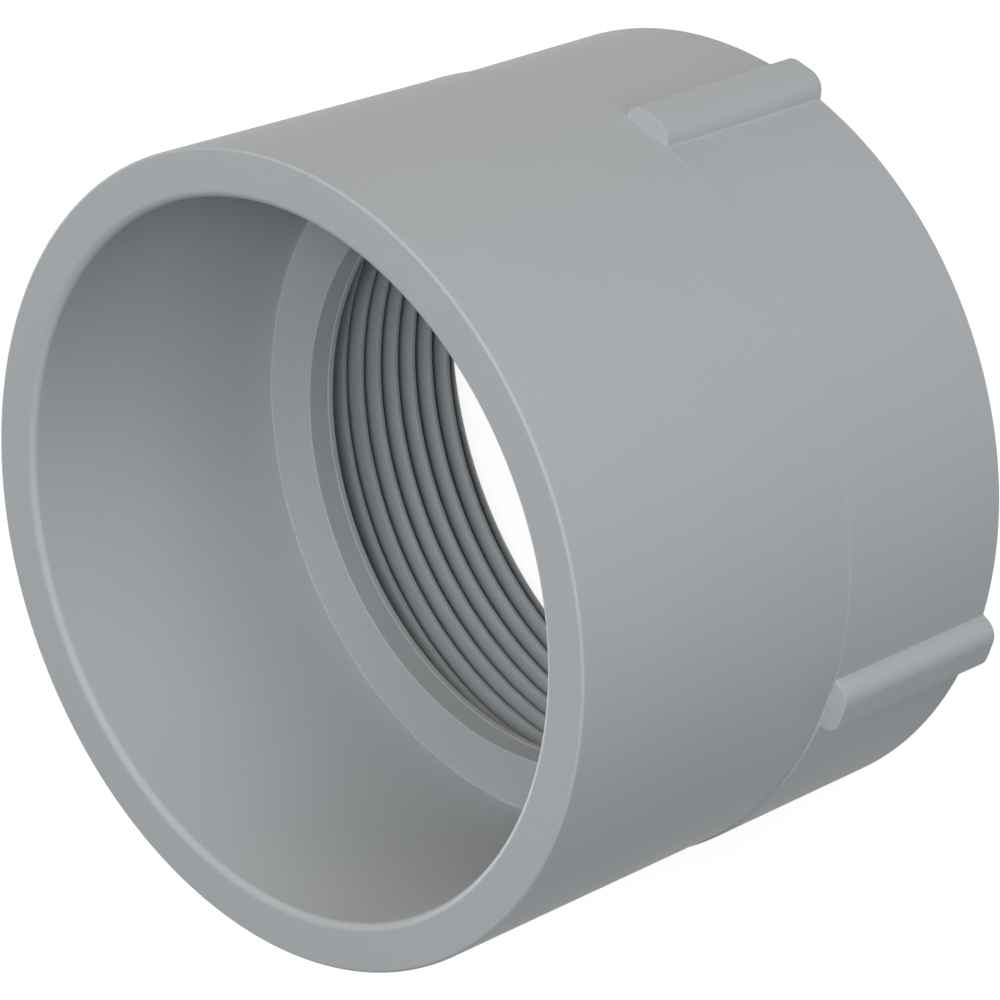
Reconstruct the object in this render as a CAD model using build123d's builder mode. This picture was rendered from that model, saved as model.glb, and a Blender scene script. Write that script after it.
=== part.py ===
# Female threaded adapter for 3 inch plastic conduit, one moulded piece.
# Millimetres. It stands on its threaded end, with its axis on +Z and the socket's mouth up.
# The origin is on the axis, in the plane of the threaded end.

from build123d import *
import os

# Outside of the body
overall_length = 73.5
socket_end_radius = 50.75
seam_radius = 49.87
thread_end_radius = 49.55
socket_end_rounding = 0.4
thread_end_chamfer = 0.25

# Parting seam between the mould's two cavities
seam_height = 27.5
seam_mismatch = 0.28
seam_mismatch_direction = 225.0

# Socket for the plain end of the conduit
socket_entry_radius = 44.65
socket_land_radius = 44.35
socket_depth = 40.0
socket_land_length = 12.0
socket_mouth_chamfer = 0.45

# Ring that stops the conduit
stop_ring_thickness = 4.0
stop_ring_bore_radius = 37.2
stop_ring_edge_chamfer = 0.35
stop_ring_lip_width = 0.8
stop_ring_lip_height = 0.15

# Threaded bore, drawn as its plain wall at the thread's roots
thread_root_radius = 44.43
thread_taper_on_diameter = 1 / 16
countersink_radius = 45.4

# Wrenching ribs along the threaded end
rib_angles = (1.0, 89.0, 181.0, 269.0)
rib_seat_width = 7.8
rib_crest_width = 6.3
rib_height_at_seam = 2.42
rib_height_at_end = 2.62
rib_corner_rounding = 1.8
rib_seat_depth = 2.0

# Heights that follow from the sizes above
socket_floor_height = overall_length - socket_depth
ring_back_height = socket_floor_height - stop_ring_thickness
thread_slope = thread_taper_on_diameter / 2
innermost_root_radius = thread_root_radius - thread_slope * ring_back_height

# The countersink runs in at 45 degrees until it meets the tapered wall.
countersink_depth = (countersink_radius - thread_root_radius) / (1 - thread_slope)
countersink_inner_radius = countersink_radius - countersink_depth

# Middle of the threaded half's outside where it meets the seam
mismatch = Vector(seam_mismatch, 0).rotate(Axis.Z, seam_mismatch_direction)

with BuildPart() as adapter_body:
    # Socket half of the outside, turned about the axis
    with BuildSketch(Plane.XZ):
        with BuildLine():
            Polyline(
                (0, seam_height),
                (seam_radius, seam_height),
                (socket_end_radius, overall_length),
                (0, overall_length),
                close=True,
            )
        make_face()
    revolve(axis=Axis.Z)
    socket_end_edge = adapter_body.edges().filter_by(GeomType.CIRCLE).sort_by(Axis.Z)[-1]
    fillet(socket_end_edge, socket_end_rounding)

    # Threaded half: at the seam its circle stands a little to one side
    with BuildSketch(Plane.XY.offset(thread_end_chamfer)):
        Circle(thread_end_radius)
    with BuildSketch(Plane.XY.offset(seam_height)):
        with Locations(mismatch):
            Circle(seam_radius)
    loft()

    # Chamfer round the threaded end
    with BuildSketch(Plane.XZ):
        with BuildLine():
            Polyline(
                (0, 0),
                (thread_end_radius - thread_end_chamfer, 0),
                (thread_end_radius, thread_end_chamfer),
                (0, thread_end_chamfer),
                close=True,
            )
        make_face()
    revolve(axis=Axis.Z)

    # Ribs: drafted bars with rounded corners, flush with the threaded end and with the seam
    for rib_angle in rib_angles:
        for height, middle, skin_radius, rib_height in (
            (0, Vector(0, 0), thread_end_radius, rib_height_at_end),
            (seam_height, mismatch, seam_radius, rib_height_at_seam),
        ):
            seat_radius = skin_radius - rib_seat_depth
            crest_radius = skin_radius + rib_height
            with BuildSketch(Plane.XY.offset(height)) as rib_section:
                with Locations(Location((middle.X, middle.Y, 0), (0, 0, rib_angle))):
                    Polygon(
                        (seat_radius, -rib_seat_width / 2),
                        (crest_radius, -rib_crest_width / 2),
                        (crest_radius, rib_crest_width / 2),
                        (seat_radius, rib_seat_width / 2),
                        align=None,
                    )
                crest_corners = rib_section.vertices().sort_by_distance((0, 0))[-2:]
                fillet(crest_corners, rib_corner_rounding)
        loft()

    # Socket, stop ring and threaded bore, one section turned about the axis
    with BuildSketch(Plane.XZ) as bore_section:
        with BuildLine():
            Polyline(
                (0, 0),
                (countersink_radius, 0),
                (countersink_inner_radius, countersink_depth),
                (innermost_root_radius, ring_back_height),
                (stop_ring_bore_radius - stop_ring_lip_height, ring_back_height),
                (stop_ring_bore_radius - stop_ring_lip_height, ring_back_height + stop_ring_lip_width),
                (stop_ring_bore_radius, ring_back_height + stop_ring_lip_width),
                (stop_ring_bore_radius, socket_floor_height),
                (socket_land_radius, socket_floor_height),
                (socket_land_radius, socket_floor_height + socket_land_length),
                (socket_entry_radius, overall_length - socket_mouth_chamfer),
                (socket_entry_radius + socket_mouth_chamfer, overall_length),
                (0, overall_length),
                close=True,
            )
        make_face()
        ring_edge = bore_section.vertices().sort_by_distance((stop_ring_bore_radius, socket_floor_height))[0]
        chamfer(ring_edge, stop_ring_edge_chamfer)
    revolve(axis=Axis.Z, mode=Mode.SUBTRACT)

adapter_body.part.label = "adapter_body"

os.makedirs("parts", exist_ok=True)
export_step(adapter_body.part, "parts/adapter_body.step")
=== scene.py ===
# Studio scene of the female threaded adapter: body with its thread, material, floor, lights and camera.
# Metres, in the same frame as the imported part: axis on +Z, threaded end on the floor at z = 0.

from math import atan2, cos, hypot, pi, radians, sin, sqrt, tan

import bmesh
import bpy
from mathutils import Matrix, Vector


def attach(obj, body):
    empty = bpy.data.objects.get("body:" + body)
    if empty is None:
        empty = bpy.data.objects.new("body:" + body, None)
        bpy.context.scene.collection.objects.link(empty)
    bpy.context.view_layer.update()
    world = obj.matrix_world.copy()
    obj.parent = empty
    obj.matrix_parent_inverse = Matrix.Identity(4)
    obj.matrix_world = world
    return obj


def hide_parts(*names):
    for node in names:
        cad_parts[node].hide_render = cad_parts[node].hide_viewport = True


MM = 0.001
BODY = "root"
NODE = "adapter_body"
# Name of the vertex attribute that carries the painted shade in the thread's groove
PAINTED_SHADE_ATTRIBUTE = "painted_groove_shade"

# Outside of the body
OVERALL_LENGTH = 73.5 * MM
SOCKET_END_RADIUS = 50.75 * MM
SEAM_RADIUS = 49.87 * MM
THREAD_END_RADIUS = 49.55 * MM
SOCKET_END_ROUNDING = 0.4 * MM
THREAD_END_CHAMFER = 0.25 * MM

# Parting seam: the threaded half stands a little to one side, and a thin flash runs round
SEAM_HEIGHT = 27.5 * MM
SEAM_MISMATCH = 0.28 * MM
SEAM_MISMATCH_DIRECTION = radians(225)
FLASH_HEIGHT = 0.05 * MM
FLASH_WIDTH = 0.3 * MM
SEAM_BLEND = 4.0 * MM

# Socket and stop ring
SOCKET_ENTRY_RADIUS = 44.65 * MM
SOCKET_LAND_RADIUS = 44.35 * MM
SOCKET_FLOOR = OVERALL_LENGTH - 40.0 * MM
SOCKET_LAND_LENGTH = 12.0 * MM
SOCKET_MOUTH_ROUNDING = 1.0 * MM
RING_BACK = SOCKET_FLOOR - 4.0 * MM
RING_BORE_RADIUS = 37.2 * MM
RING_EDGE_ROUNDING = 0.2 * MM
RING_LIP_WIDTH = 0.8 * MM
RING_LIP_HEIGHT = 0.12 * MM
INNER_CORNER_ROUNDING = 0.15 * MM
EDGE_ROUNDING = 0.08 * MM

# Wrenching ribs
RIB_ANGLES = [radians(a) for a in (1, 89, 181, 269)]
RIB_SEAT_WIDTH = 7.8 * MM
RIB_CREST_WIDTH = 6.3 * MM
RIB_HEIGHT_AT_SEAM = 2.42 * MM
RIB_HEIGHT_AT_END = 2.55 * MM
RIB_CORNER_ROUNDING = 2.3 * MM
RIB_ROOT_ROUNDING = 0.3 * MM
RIB_SEAT_DEPTH = 2.0 * MM
RIB_END_ROUNDING = 0.16 * MM

# Internal thread, 8 to the inch on a taper of 1 in 16
THREAD_PITCH = 25.4 * MM / 8
THREAD_SLOPE = 1 / 32
THREAD_ROOT_RADIUS = 44.43 * MM
THREAD_DEPTH = 2.3 * MM
THREAD_ROOT_FLAT = 0.1 * MM
THREAD_CREST_FLAT = 0.62 * MM
THREAD_CORNER_ROUNDING = 0.12 * MM
THREAD_START_HEIGHT = 22.057 * MM
THREAD_TURNS = range(-9, 5)
COUNTERSINK_RADIUS = 45.4 * MM
COUNTERSINK_FOOT = 0.3 * MM

# Fineness of the mesh
ARC_STEPS = 5
THREAD_ARC_STEPS = 1
COLUMNS_BETWEEN_RIBS = 110
RIB_ROOT_TRIES = 4
MID_ROUNDING = 0.3
NEIGHBOUR_DISTANCE = 1.0 * MM
MERGE_DISTANCE = 0.002 * MM
DISSOLVE_DISTANCE = MERGE_DISTANCE / 4
SHARP_ANGLE = radians(34)

# Plastic, and the painted shade deep in the thread's groove
TINT_LOW = (0.408, 0.423, 0.436, 1)
TINT_HIGH = (0.426, 0.441, 0.454, 1)
# Painted shade: near black laid into the groove's root, where the lamps leave shade
PAINTED_GROOVE_SHADE_COLOR = (0.04, 0.045, 0.05, 1)
CLOUD_SCALE = 45
CLOUD_DETAIL = 3
GRAIN_SCALE = 2600
GRAIN_DETAIL = 2
GRAIN_BUMP = 0.25
GRAIN_HEIGHT = 0.02 * MM
ROUGHNESS_LOW = 0.42
ROUGHNESS_HIGH = 0.54
SPECULAR = 0.17

# Camera, measured from the middle of the socket's mouth
CAMERA_AZIMUTH = radians(48.39)
CAMERA_ELEVATION = radians(38.62)
CAMERA_DISTANCE = 685.2 * MM
VIEW_AZIMUTH = radians(48.58)
VIEW_ELEVATION = radians(40.92)
VIEW_ROLL = radians(-110.10)
FOCAL_PIXELS = 5775
IMAGE_PIXELS = 1000
SENSOR_WIDTH = 36.0
NEAREST_SEEN = 0.01
FARTHEST_SEEN = 50

# Floor and world
WHITE = (1, 1, 1, 1)
FLOOR_HALF_WIDTH = 6.0
FLOOR_COLOR = (0.25, 0.25, 0.25, 1)
FLOOR_ROUGHNESS = 0.9
FLOOR_GLOW = 0.88
WORLD_STRENGTH = 0.03
WORLD_STRENGTH_SEEN = 1.0

# Lamps: name, direction from the object, width, power in watts and colour
LAMP_DISTANCE = 1.5
WARM_LIGHT = (1, 0.97, 0.94)
COOL_LIGHT = (0.93, 0.975, 1)
LAMPS = (
    ("main", (0.54, -0.42, 0.73), 0.35, 6.7, COOL_LIGHT),
    ("upper", (0.71, 0.0, 0.71), 0.8, 6.1, WARM_LIGHT),
    ("overhead", (0.28, -0.24, 0.93), 0.5, 2.6, WARM_LIGHT),
    ("low", (0.38, -0.82, 0.43), 0.8, 7.2, COOL_LIGHT),
    ("level", (0.95, -0.08, 0.30), 0.8, 4.6, WARM_LIGHT),
    ("side", (0.28, 0.93, 0.20), 0.8, 5.5, WARM_LIGHT),
    ("behind", (-0.57, 0.82, 0.06), 0.4, 14, COOL_LIGHT),
)


def between(low, high, share):
    """The value at a share of the way from one number to another."""
    return low + (high - low) * share


def rounded(corners, steps=ARC_STEPS):
    """A chain of (x, y, rounding) corners as plain points, with an arc at each rounded corner."""
    points = [corners[0][:2]]
    for before, corner, after in zip(corners, corners[1:], corners[2:]):
        x, y, rounding = corner
        if not rounding:
            points.append((x, y))
            continue
        place = Vector((x, y))
        back = (Vector(before[:2]) - place).normalized()
        ahead = (Vector(after[:2]) - place).normalized()
        half = back.angle(ahead) / 2
        middle = place + (back + ahead).normalized() * (rounding / sin(half))
        first = place + back * (rounding / tan(half)) - middle
        turn = first.angle_signed(place + ahead * (rounding / tan(half)) - middle)
        for i in range(steps + 1):
            spoke = first.copy()
            spoke.rotate(Matrix.Rotation(-turn * i / steps, 2))
            points.append(tuple(middle + spoke))
    return points + [corners[-1][:2]]


def rib_outline(share, skin, shrink):
    """Points across one rib at a share of the way up to the seam, with +X through the rib's middle."""
    wall = between(THREAD_END_RADIUS, SEAM_RADIUS, share)
    crest = wall + between(RIB_HEIGHT_AT_END, RIB_HEIGHT_AT_SEAM, share) - shrink
    seat = wall - RIB_SEAT_DEPTH
    lean = (RIB_SEAT_WIDTH - RIB_CREST_WIDTH) / 2 / (crest + shrink - seat)
    half_crest = RIB_CREST_WIDTH / 2 - shrink
    half_root = half_crest
    for _ in range(RIB_ROOT_TRIES):
        half_root = half_crest + lean * (crest - sqrt(skin**2 - half_root**2))
    skirt = half_root + NEIGHBOUR_DISTANCE
    side = [
        (sqrt(skin**2 - skirt**2), skirt, 0),
        (sqrt(skin**2 - half_root**2), half_root, RIB_ROOT_ROUNDING),
        (crest, half_crest, RIB_CORNER_ROUNDING - shrink),
    ]
    other_side = [(x, -y, rounding) for x, y, rounding in side]
    return rounded(other_side + side[::-1])


def outline(height, skin=None, shrink=0.0):
    """The threaded half's outside at one height with its ribs, anticlockwise from the first rib."""
    share = height / SEAM_HEIGHT
    skin = skin or between(THREAD_END_RADIUS, SEAM_RADIUS, share)
    shift = SEAM_MISMATCH * share
    middle = Vector((cos(SEAM_MISMATCH_DIRECTION), sin(SEAM_MISMATCH_DIRECTION))) * shift
    rib = rib_outline(share, skin, shrink)
    half_angle = atan2(rib[-1][1], rib[-1][0])
    points = []
    for rib_angle, next_angle in zip(RIB_ANGLES, RIB_ANGLES[1:] + [RIB_ANGLES[0] + 2 * pi]):
        points += [Vector(point) @ Matrix.Rotation(-rib_angle, 2) for point in rib]
        start = rib_angle + half_angle
        stop = next_angle - half_angle
        for i in range(1, COLUMNS_BETWEEN_RIBS):
            angle = between(start, stop, i / COLUMNS_BETWEEN_RIBS)
            points.append(Vector((cos(angle), sin(angle))) * skin)
    return [(middle + point).to_3d() + Vector((0, 0, height)) for point in points]


def seam_reach(angle):
    """How far out the threaded half's skin comes at the seam: at least as far as the flash."""
    shift = SEAM_MISMATCH * cos(angle - SEAM_MISMATCH_DIRECTION)
    return SEAM_RADIUS + max(shift, FLASH_HEIGHT)


def blended(loop):
    """The loop with its skin brought out to the seam's edge, so that the halves meet."""
    moved = []
    for point in loop:
        spread = max(seam_reach(atan2(point.y, point.x)) / hypot(point.x, point.y), 1)
        moved.append(Vector((point.x * spread, point.y * spread, point.z)))
    return moved


def threaded_half():
    """Loops of points up the outside of the threaded half, from the end face to the seam."""
    edge = RIB_END_ROUNDING
    middle = edge * MID_ROUNDING
    end_skin = THREAD_END_RADIUS - THREAD_END_CHAMFER
    return [
        outline(0, end_skin, edge),
        outline(middle, end_skin + middle, middle),
        outline(edge, end_skin + edge),
        outline(THREAD_END_CHAMFER),
        outline(SEAM_HEIGHT - SEAM_BLEND),
        blended(outline(SEAM_HEIGHT - edge)),
        blended(outline(SEAM_HEIGHT - middle, None, middle)),
        blended(outline(SEAM_HEIGHT, None, edge)),
    ]


def socket_section():
    """The section from the seam up the outside, over the rim, down the socket and past the ring."""
    lip = RING_BORE_RADIUS - RING_LIP_HEIGHT
    lip_edge = RING_BACK + RING_LIP_WIDTH
    return rounded(
        [
            (SEAM_RADIUS, SEAM_HEIGHT + FLASH_WIDTH, 0),
            (SOCKET_END_RADIUS, OVERALL_LENGTH, SOCKET_END_ROUNDING),
            (SOCKET_ENTRY_RADIUS, OVERALL_LENGTH, SOCKET_MOUTH_ROUNDING),
            (SOCKET_LAND_RADIUS, SOCKET_FLOOR + SOCKET_LAND_LENGTH, 0),
            (SOCKET_LAND_RADIUS, SOCKET_FLOOR, INNER_CORNER_ROUNDING),
            (RING_BORE_RADIUS, SOCKET_FLOOR, RING_EDGE_ROUNDING),
            (RING_BORE_RADIUS, lip_edge, EDGE_ROUNDING / 2),
            (lip, lip_edge, EDGE_ROUNDING / 2),
            (lip, RING_BACK, EDGE_ROUNDING),
            (lip + NEIGHBOUR_DISTANCE, RING_BACK, 0),
        ]
    )


def end_section():
    """The section from the countersink's foot out onto the end face."""
    return rounded(
        [
            (COUNTERSINK_RADIUS - COUNTERSINK_FOOT, COUNTERSINK_FOOT, 0),
            (COUNTERSINK_RADIUS, 0, EDGE_ROUNDING),
            (COUNTERSINK_RADIUS + NEIGHBOUR_DISTANCE, 0, 0),
        ]
    )


def thread_profile():
    """One pitch of the thread, as points (height above the crest's lower corner, depth)."""
    crest = THREAD_CREST_FLAT
    flank = (THREAD_PITCH - THREAD_ROOT_FLAT - crest) / 2
    corners = [
        (-flank / 2, THREAD_DEPTH / 2, 0),
        (0, 0, THREAD_CORNER_ROUNDING),
        (crest, 0, THREAD_CORNER_ROUNDING),
        (crest + flank, THREAD_DEPTH, THREAD_CORNER_ROUNDING / 2),
        (crest + flank + THREAD_ROOT_FLAT, THREAD_DEPTH, THREAD_CORNER_ROUNDING / 2),
        (THREAD_PITCH - flank / 2, THREAD_DEPTH / 2, 0),
    ]
    points = rounded(corners, THREAD_ARC_STEPS)
    up_to_crest = points[:5]
    flank_middle = (crest + flank / 2, THREAD_DEPTH / 2)
    root = points[5:-1]
    return up_to_crest + [flank_middle] + root


def crossing(low, high, share):
    """The point at a share of the way from one point to another."""
    return tuple(between(a, b, share) for a, b in zip(low, high))


def thread_column(profile, angle):
    """Points (radius, height) up the threaded wall at one angle, from countersink to stop ring."""
    start = THREAD_START_HEIGHT + THREAD_PITCH * angle / (2 * pi)
    wall = []
    for turn in THREAD_TURNS:
        for rise, depth in profile:
            z = start + turn * THREAD_PITCH + rise
            wall.append((THREAD_ROOT_RADIUS - THREAD_SLOPE * z - THREAD_DEPTH + depth, z))

    # Below the countersink's cone, points move onto the cone
    outside_cone = [radius + z - COUNTERSINK_RADIUS for radius, z in wall]
    column = []
    for (radius, z), distance in zip(wall, outside_cone):
        if distance < 0:
            z = max(z, COUNTERSINK_FOOT)
            radius = COUNTERSINK_RADIUS - z
        column.append((radius, z))

    # Where a side of the thread runs through the cone, its end comes to the crossing
    for j in range(len(wall) - 1):
        low, high = outside_cone[j], outside_cone[j + 1]
        if (low < 0) != (high < 0):
            cut = j if low < 0 else j + 1
            column[cut] = crossing(wall[j], wall[j + 1], low / (low - high))

    # Past the ring's back face, all points lie where the thread meets that face
    last = max(j for j, (radius, z) in enumerate(wall) if z <= RING_BACK)
    share = (RING_BACK - wall[last][1]) / (wall[last + 1][1] - wall[last][1])
    top = crossing(wall[last], wall[last + 1], share)
    return column[: last + 1] + [top] * (len(wall) - last - 1)


def painted_groove_shade(radius, height):
    """How much painted shade a point takes, growing with its depth in the thread's groove: zero on the
    crest, one at the root.
    """
    cut_off = height >= RING_BACK or radius + height <= COUNTERSINK_RADIUS + MERGE_DISTANCE
    share = (radius + THREAD_SLOPE * height - THREAD_ROOT_RADIUS) / THREAD_DEPTH + 1
    return 0.0 if cut_off else min(max(share, 0), 1) ** 2


def angles_round(loop):
    """The angle of each point of a loop about the axis, growing through one full turn."""
    angles = []
    for i, point in enumerate(loop):
        angle = atan2(point.y, point.x)
        past_half = i > len(loop) / 2 and angle < 0
        angles.append(angle + 2 * pi if past_half else angle)
    return angles


def turned(radius, height, angles):
    """A circle of points about the axis."""
    return [Vector((radius * cos(a), radius * sin(a), height)) for a in angles]


def bridge(mesh, rows):
    """Faces between rows of points that run round the axis, each row joined to the next."""
    for here, there in zip(rows, rows[1:]):
        count = len(here)
        for i in range(count):
            corners = [here[i], here[(i + 1) % count], there[(i + 1) % count], there[i]]
            mesh.faces.new(corners)


def thread_columns(mesh, profile, angles):
    """The threaded wall's vertices, one column to each angle, marked with how much painted shade their
    depth in the groove gives them.
    """
    painted_shade_layer = mesh.verts.layers.float[PAINTED_SHADE_ATTRIBUTE]
    columns = []
    for angle in angles:
        wall = thread_column(profile, angle)
        column = [mesh.verts.new((r * cos(angle), r * sin(angle), z)) for r, z in wall]
        for vertex, (r, z) in zip(column, wall):
            # Painted shade: the deeper in the groove, the darker the base colour is painted
            vertex[painted_shade_layer] = painted_groove_shade(r, z)
        columns.append(column)
    return columns


def thread_faces(mesh, columns, steps):
    """Faces of the helical wall: past the last column each row runs on one turn higher up."""
    count = len(columns)
    top = len(columns[0]) - 1
    for i, here in enumerate(columns):
        there = columns[(i + 1) % count]
        shift = steps if i == count - 1 else 0
        for j in range(top):
            low, high = min(j + shift, top), min(j + 1 + shift, top)
            corners = [here[j + 1], there[high], there[low], here[j]]
            mesh.faces.new(list(dict.fromkeys(corners)))


def make_body():
    """The moulded body as one closed mesh: outside with ribs, rim, socket, stop ring and thread."""
    outside = threaded_half()
    angles = angles_round(outside[-1])
    profile = thread_profile()
    mesh = bmesh.new()
    mesh.verts.layers.float.new(PAINTED_SHADE_ATTRIBUTE)

    # Outside, rim, socket and stop ring, down to the thread's upper end
    seam_edge = []
    for angle in angles:
        seam_edge += turned(seam_reach(angle), SEAM_HEIGHT, [angle])
    loops = outside + [seam_edge] + [turned(r, z, angles) for r, z in socket_section()]
    rows = [[mesh.verts.new(point) for point in loop] for loop in loops]
    columns = thread_columns(mesh, profile, angles)
    foot = [[mesh.verts.new(point) for point in turned(r, z, angles)] for r, z in end_section()[1:]]
    bridge(mesh, rows + [[column[-1] for column in columns]])

    # Thread, countersink and end face, which close the body
    thread_faces(mesh, columns, len(profile))
    bridge(mesh, [[column[0] for column in columns]] + foot + [rows[0]])

    bmesh.ops.remove_doubles(mesh, verts=mesh.verts, dist=MERGE_DISTANCE)
    bmesh.ops.dissolve_degenerate(mesh, dist=DISSOLVE_DISTANCE, edges=mesh.edges)
    for face in mesh.faces:
        face.smooth = True
    data = bpy.data.meshes.new("moulded_body")
    mesh.to_mesh(data)
    mesh.free()
    data.set_sharp_from_angle(angle=SHARP_ANGLE)
    body = bpy.data.objects.new("moulded_body", data)
    bpy.context.scene.collection.objects.link(body)
    shading = body.modifiers.new("flat_faces_stay_flat", "WEIGHTED_NORMAL")
    shading.keep_sharp = True
    return body


def shader_node(tree, kind, **values):
    """A shader node with its settings and its unlinked inputs set by name."""
    made = tree.nodes.new(kind)
    for name, value in values.items():
        if hasattr(made, name):
            setattr(made, name, value)
        else:
            made.inputs[name.replace("_", " ")].default_value = value
    return made


def make_plastic():
    """Satin grey moulded plastic: nearly even in colour, with a fine moulded grain, and painted shade
    deep in the thread's groove.
    """
    material = bpy.data.materials.new("grey_pvc")
    material.use_nodes = True
    tree = material.node_tree
    shader = tree.nodes["Principled BSDF"]
    shader.inputs["Specular IOR Level"].default_value = SPECULAR
    place = shader_node(tree, "ShaderNodeTexCoord").outputs["Object"]

    def noise(scale, detail):
        made = shader_node(tree, "ShaderNodeTexNoise", Scale=scale, Detail=detail)
        tree.links.new(place, made.inputs["Vector"])
        return made.outputs["Fac"]

    clouds = noise(CLOUD_SCALE, CLOUD_DETAIL)
    grain = noise(GRAIN_SCALE, GRAIN_DETAIL)

    # Colour: a faint cloudiness, and painted shade in the thread's groove, darkest at its root
    tint = shader_node(tree, "ShaderNodeMix", data_type="RGBA")
    tint.inputs["A"].default_value = TINT_LOW
    tint.inputs["B"].default_value = TINT_HIGH
    tree.links.new(clouds, tint.inputs["Factor"])
    # Painted shade: the base colour is mixed towards near black by the groove's painted shade mask
    depth = shader_node(tree, "ShaderNodeAttribute", attribute_name=PAINTED_SHADE_ATTRIBUTE)
    groove_shade_mix = shader_node(tree, "ShaderNodeMix", data_type="RGBA")
    groove_shade_mix.inputs["B"].default_value = PAINTED_GROOVE_SHADE_COLOR
    tree.links.new(depth.outputs["Fac"], groove_shade_mix.inputs["Factor"])
    tree.links.new(tint.outputs["Result"], groove_shade_mix.inputs["A"])
    tree.links.new(groove_shade_mix.outputs["Result"], shader.inputs["Base Color"])

    # Surface: the grain changes the gloss and stands slightly proud
    sheen = shader_node(tree, "ShaderNodeMapRange", To_Min=ROUGHNESS_LOW, To_Max=ROUGHNESS_HIGH)
    tree.links.new(grain, sheen.inputs["Value"])
    tree.links.new(sheen.outputs["Result"], shader.inputs["Roughness"])
    bump = shader_node(tree, "ShaderNodeBump", Strength=GRAIN_BUMP, Distance=GRAIN_HEIGHT)
    tree.links.new(grain, bump.inputs["Height"])
    tree.links.new(bump.outputs["Normal"], shader.inputs["Normal"])
    return material


def seen_directly(tree):
    """One for rays from the camera, a reflection or a transmission, zero for all other light."""
    path = shader_node(tree, "ShaderNodeLightPath")
    total = path.outputs["Is Camera Ray"]
    for name in ("Is Glossy Ray", "Is Transmission Ray"):
        add = shader_node(tree, "ShaderNodeMath", operation="MAXIMUM")
        tree.links.new(total, add.inputs[0])
        tree.links.new(path.outputs[name], add.inputs[1])
        total = add.outputs[0]
    return total


def make_floor():
    """A wide white floor: it looks white to the camera and still takes the object's soft shadow."""
    half = FLOOR_HALF_WIDTH
    corners = [(-half, -half, 0), (half, -half, 0), (half, half, 0), (-half, half, 0)]
    mesh = bpy.data.meshes.new("floor")
    mesh.from_pydata(corners, [], [(0, 1, 2, 3)])
    plane = bpy.data.objects.new("floor", mesh)
    bpy.context.scene.collection.objects.link(plane)
    material = bpy.data.materials.new("floor")
    material.use_nodes = True
    tree = material.node_tree
    shader = tree.nodes["Principled BSDF"]
    shader.inputs["Base Color"].default_value = FLOOR_COLOR
    shader.inputs["Roughness"].default_value = FLOOR_ROUGHNESS
    shader.inputs["Specular IOR Level"].default_value = 0
    shader.inputs["Emission Color"].default_value = WHITE
    glow = shader_node(tree, "ShaderNodeMath", operation="MULTIPLY")
    glow.inputs[1].default_value = FLOOR_GLOW
    tree.links.new(seen_directly(tree), glow.inputs[0])
    tree.links.new(glow.outputs[0], shader.inputs["Emission Strength"])
    mesh.materials.append(material)


def make_world():
    """White surroundings: full white where seen, softer as light on the object."""
    world = bpy.data.worlds.new("studio")
    bpy.context.scene.world = world
    world.use_nodes = True
    tree = world.node_tree
    background = tree.nodes["Background"]
    background.inputs["Color"].default_value = WHITE
    level = shader_node(
        tree, "ShaderNodeMapRange", To_Min=WORLD_STRENGTH, To_Max=WORLD_STRENGTH_SEEN
    )
    tree.links.new(seen_directly(tree), level.inputs["Value"])
    tree.links.new(level.outputs["Result"], background.inputs["Strength"])


def make_lamp(name, towards, size, power, color):
    """A round soft lamp that shines on the object from one side."""
    data = bpy.data.lights.new(name, "AREA")
    data.shape = "DISK"
    data.size = size
    data.energy = power
    data.color = color
    lamp = bpy.data.objects.new(name, data)
    bpy.context.scene.collection.objects.link(lamp)
    direction = Vector(towards).normalized()
    lamp.location = direction * LAMP_DISTANCE + Vector((0, 0, OVERALL_LENGTH / 2))
    lamp.rotation_mode = "QUATERNION"
    lamp.rotation_quaternion = direction.to_track_quat("Z", "Y")


def from_angles(azimuth, elevation):
    """Unit vector towards an azimuth and elevation: azimuth 0 is on -Y, 90 degrees on +X."""
    level = cos(elevation)
    return Vector((sin(azimuth) * level, -cos(azimuth) * level, sin(elevation)))


def make_camera():
    """The photograph's camera: a long lens that looks down into the socket, with its axis across."""
    data = bpy.data.cameras.new("camera")
    camera = bpy.data.objects.new("camera", data)
    bpy.context.scene.collection.objects.link(camera)
    mouth = Vector((0, 0, OVERALL_LENGTH))
    back = from_angles(VIEW_AZIMUTH, VIEW_ELEVATION)
    level_right = Vector((cos(VIEW_AZIMUTH), sin(VIEW_AZIMUTH), 0))
    level_up = back.cross(level_right)
    right = level_right * cos(VIEW_ROLL) + level_up * sin(VIEW_ROLL)
    up = back.cross(right)
    turn = Matrix((right, up, back)).transposed()
    place = mouth + from_angles(CAMERA_AZIMUTH, CAMERA_ELEVATION) * CAMERA_DISTANCE
    camera.matrix_world = Matrix.Translation(place) @ turn.to_4x4()
    data.sensor_width = SENSOR_WIDTH
    data.lens = FOCAL_PIXELS / IMAGE_PIXELS * SENSOR_WIDTH
    data.clip_start = NEAREST_SEEN
    data.clip_end = FARTHEST_SEEN
    bpy.context.scene.camera = camera


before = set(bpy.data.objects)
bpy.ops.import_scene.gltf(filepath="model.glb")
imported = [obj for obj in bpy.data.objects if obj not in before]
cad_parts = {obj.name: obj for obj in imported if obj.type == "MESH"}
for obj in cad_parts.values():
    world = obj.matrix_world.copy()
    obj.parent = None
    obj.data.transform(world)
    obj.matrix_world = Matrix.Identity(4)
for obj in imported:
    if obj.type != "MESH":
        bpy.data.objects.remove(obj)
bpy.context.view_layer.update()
bpy.context.scene.view_settings.view_transform = "Standard"
make_camera()

body = make_body()
body.data.materials.append(make_plastic())
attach(body, BODY)
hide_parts(NODE)

make_floor()
make_world()
for lamp in LAMPS:
    make_lamp(*lamp)
